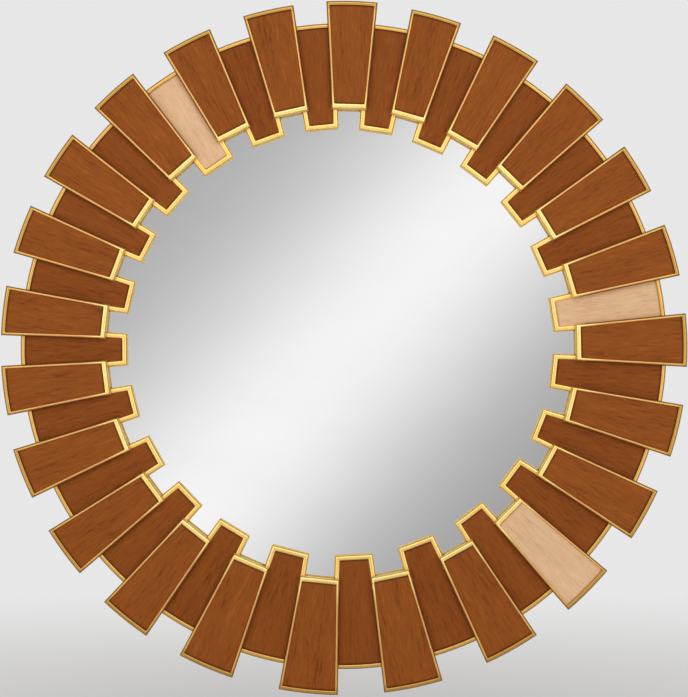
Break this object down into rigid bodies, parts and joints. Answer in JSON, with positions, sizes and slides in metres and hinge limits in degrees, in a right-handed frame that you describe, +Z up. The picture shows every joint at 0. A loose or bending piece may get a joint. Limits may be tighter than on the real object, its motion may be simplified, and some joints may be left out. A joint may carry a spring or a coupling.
{
  "type": "sunburst wall mirror",
  "caption": "Round wall mirror in a sunburst ring of two overlapping rows of tapered, gilt-edged wood slats with inlaid veneer; hangs on two keyhole plates.",
  "frame": {"origin": "centre of the backing board's rear face, which lies on the wall", "axes": "+X to the viewer's right, +Y into the wall, +Z up; the glass faces -Y"},
  "size_m": [0.9091, 0.037, 0.9194],
  "materials": {
    "gilt_wood": "gilded, burnished metallic gold over wood",
    "walnut_veneer": "satin lacquer, fine straight grain",
    "bleached_veneer": "satin lacquer, fine straight grain",
    "silvered_glass": "polished",
    "black_wood": "matt black paint",
    "zinc_steel": "zinc plated",
    "foam_tape": "matt"
  },
  "bodies": {
    "root": {"front_slat_01": "gilt_wood", "front_slat_02": "gilt_wood", "front_slat_03": "gilt_wood", "front_slat_04": "gilt_wood", "front_slat_05": "gilt_wood", "front_slat_06": "gilt_wood", "front_slat_07": "gilt_wood", "front_slat_08": "gilt_wood", "front_slat_09": "gilt_wood", "front_slat_10": "gilt_wood", "front_slat_11": "gilt_wood", "front_slat_12": "gilt_wood", "front_slat_13": "gilt_wood", "front_slat_14": "gilt_wood", "front_slat_15": "gilt_wood", "front_slat_16": "gilt_wood", "front_slat_17": "gilt_wood", "front_slat_18": "gilt_wood", "front_slat_19": "gilt_wood", "front_slat_20": "gilt_wood", "front_slat_21": "gilt_wood", "front_slat_22": "gilt_wood", "front_slat_23": "gilt_wood", "front_slat_24": "gilt_wood", "rear_slat_01": "gilt_wood", "rear_slat_02": "gilt_wood", "rear_slat_03": "gilt_wood", "rear_slat_04": "gilt_wood", "rear_slat_05": "gilt_wood", "rear_slat_06": "gilt_wood", "rear_slat_07": "gilt_wood", "rear_slat_08": "gilt_wood", "rear_slat_09": "gilt_wood", "rear_slat_10": "gilt_wood", "rear_slat_11": "gilt_wood", "rear_slat_12": "gilt_wood", "rear_slat_13": "gilt_wood", "rear_slat_14": "gilt_wood", "rear_slat_15": "gilt_wood", "rear_slat_16": "gilt_wood", "rear_slat_17": "gilt_wood", "rear_slat_18": "gilt_wood", "rear_slat_19": "gilt_wood", "rear_slat_20": "gilt_wood", "rear_slat_21": "gilt_wood", "rear_slat_22": "gilt_wood", "rear_slat_23": "gilt_wood", "rear_slat_24": "gilt_wood", "front_walnut_panels": "walnut_veneer", "rear_walnut_panels": "walnut_veneer", "bleached_panels": "bleached_veneer", "front_slat_risers": "gilt_wood", "backing_board": "black_wood", "mirror_glass": "silvered_glass", "mirror_foam_pads": "foam_tape", "front_slat_screws": "zinc_steel", "rear_slat_screws": "zinc_steel", "keyhole_hanger_left": "zinc_steel", "keyhole_hanger_right": "zinc_steel", "keyhole_screws": "zinc_steel"}
  },
  "joints": []
}
